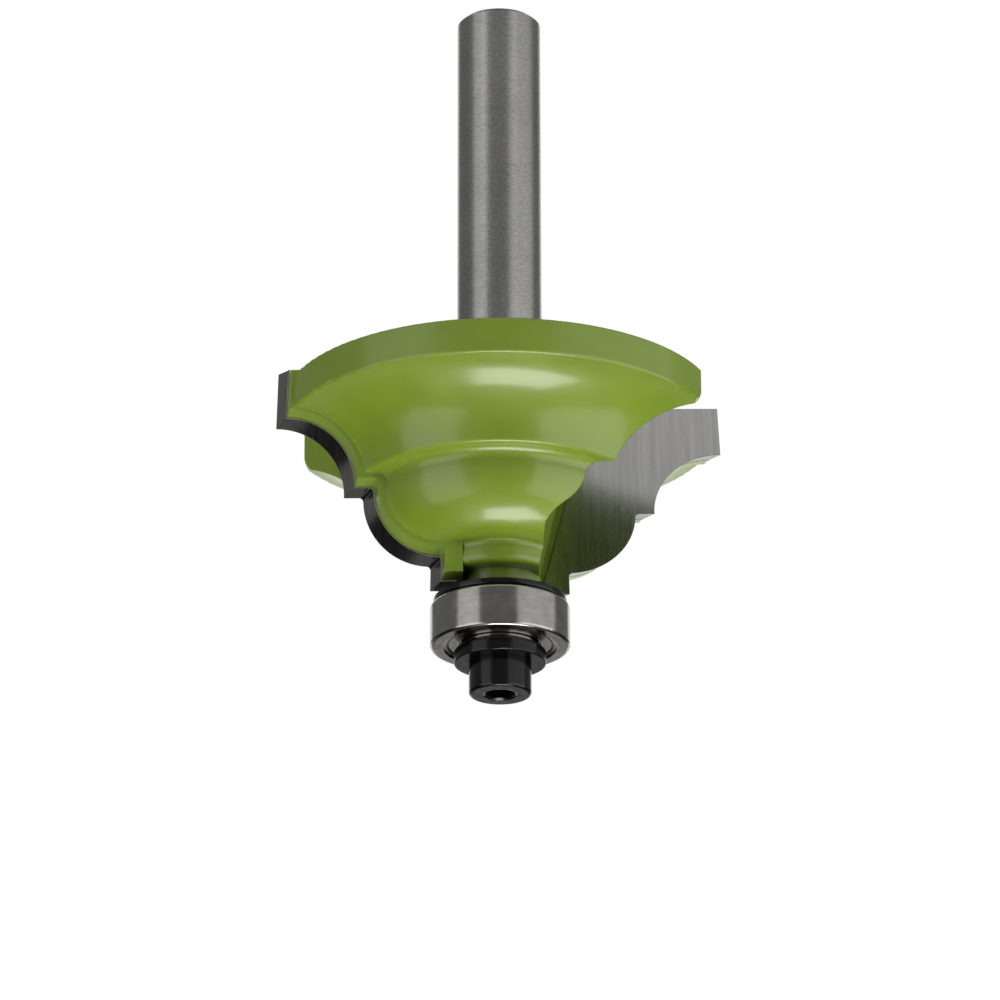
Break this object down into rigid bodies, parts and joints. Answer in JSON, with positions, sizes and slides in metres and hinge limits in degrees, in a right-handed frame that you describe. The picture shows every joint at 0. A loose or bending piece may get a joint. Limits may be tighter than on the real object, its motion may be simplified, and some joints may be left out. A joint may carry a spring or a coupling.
{
  "type": "router bit",
  "caption": "Profile router bit: hard-metal tips with a cove, a step and an ovolo brazed to a painted body, on a straight shank, with a shielded ball-bearing pilot held by a cap screw",
  "frame": {"origin": "on the tool's axis at the shank's root, where the length that a collet can grip ends", "axes": "+Z along the tool's axis towards the shank's free end; the first tip lies on the +X side with its rake face towards -Y; the cutter turns clockwise seen from +Z"},
  "size_m": [0.0418, 0.0408, 0.0688],
  "materials": {
    "painted_steel": "green gloss enamel on the cutter, with the shank left as bare ground steel",
    "hard_metal": "ground, with fine grinding lines",
    "black_steel": "black oxide, polished",
    "ring_steel": "ground bearing steel",
    "shield_steel": "pressed sheet, satin",
    "wire_steel": "bright drawn wire",
    "cage_steel": "pressed sheet, bright",
    "ball_steel": "lapped, mirror bright"
  },
  "bodies": {
    "cutter": {"cutter_body": "painted_steel", "carbide_tip_1": "hard_metal", "carbide_tip_2": "hard_metal", "shield_washer": "black_steel", "inner_ring": "ring_steel", "stop_washer": "black_steel", "cap_screw": "black_steel"},
    "pilot_ring": {"outer_ring": "ring_steel", "bearing_shield_upper": "shield_steel", "bearing_shield_lower": "shield_steel", "snap_ring_upper": "wire_steel", "snap_ring_lower": "wire_steel"},
    "ball_cage": {"cage_upper": "cage_steel", "cage_lower": "cage_steel", "cage_rivet_1": "cage_steel", "cage_rivet_2": "cage_steel", "cage_rivet_3": "cage_steel", "cage_rivet_4": "cage_steel", "cage_rivet_5": "cage_steel", "cage_rivet_6": "cage_steel", "cage_rivet_7": "cage_steel"},
    "rolling_ball_1": {"ball_1": "ball_steel"},
    "rolling_ball_2": {"ball_2": "ball_steel"},
    "rolling_ball_3": {"ball_3": "ball_steel"},
    "rolling_ball_4": {"ball_4": "ball_steel"},
    "rolling_ball_5": {"ball_5": "ball_steel"},
    "rolling_ball_6": {"ball_6": "ball_steel"},
    "rolling_ball_7": {"ball_7": "ball_steel"}
  },
  "joints": [
    {"name": "pilot_spin", "type": "hinge", "parent": "cutter", "child": "pilot_ring", "pos_m": [0, 0, -0.02831], "axis": [0, 0, 1], "continuous": true},
    {"name": "cage_orbit", "type": "hinge", "parent": "cutter", "child": "ball_cage", "pos_m": [0, 0, -0.02831], "axis": [0, 0, 1], "continuous": true},
    {"name": "ball_1_spin", "type": "hinge", "parent": "ball_cage", "child": "rolling_ball_1", "pos_m": [0.0045, 0, -0.02831], "axis": [0, 0, 1], "continuous": true},
    {"name": "ball_2_spin", "type": "hinge", "parent": "ball_cage", "child": "rolling_ball_2", "pos_m": [0.00281, 0.00352, -0.02831], "axis": [0, 0, 1], "continuous": true},
    {"name": "ball_3_spin", "type": "hinge", "parent": "ball_cage", "child": "rolling_ball_3", "pos_m": [-0.001, 0.00439, -0.02831], "axis": [0, 0, 1], "continuous": true},
    {"name": "ball_4_spin", "type": "hinge", "parent": "ball_cage", "child": "rolling_ball_4", "pos_m": [-0.00405, 0.00195, -0.02831], "axis": [0, 0, 1], "continuous": true},
    {"name": "ball_5_spin", "type": "hinge", "parent": "ball_cage", "child": "rolling_ball_5", "pos_m": [-0.00405, -0.00195, -0.02831], "axis": [0, 0, 1], "continuous": true},
    {"name": "ball_6_spin", "type": "hinge", "parent": "ball_cage", "child": "rolling_ball_6", "pos_m": [-0.001, -0.00439, -0.02831], "axis": [0, 0, 1], "continuous": true},
    {"name": "ball_7_spin", "type": "hinge", "parent": "ball_cage", "child": "rolling_ball_7", "pos_m": [0.00281, -0.00352, -0.02831], "axis": [0, 0, 1], "continuous": true}
  ],
  "couplings": [
    {"joint": "cage_orbit", "follows": "pilot_spin", "ratio": 0.61111},
    {"joint": "ball_1_spin", "follows": "pilot_spin", "ratio": 2.1389},
    {"joint": "ball_2_spin", "follows": "pilot_spin", "ratio": 2.1389},
    {"joint": "ball_3_spin", "follows": "pilot_spin", "ratio": 2.1389},
    {"joint": "ball_4_spin", "follows": "pilot_spin", "ratio": 2.1389},
    {"joint": "ball_5_spin", "follows": "pilot_spin", "ratio": 2.1389},
    {"joint": "ball_6_spin", "follows": "pilot_spin", "ratio": 2.1389},
    {"joint": "ball_7_spin", "follows": "pilot_spin", "ratio": 2.1389}
  ]
}
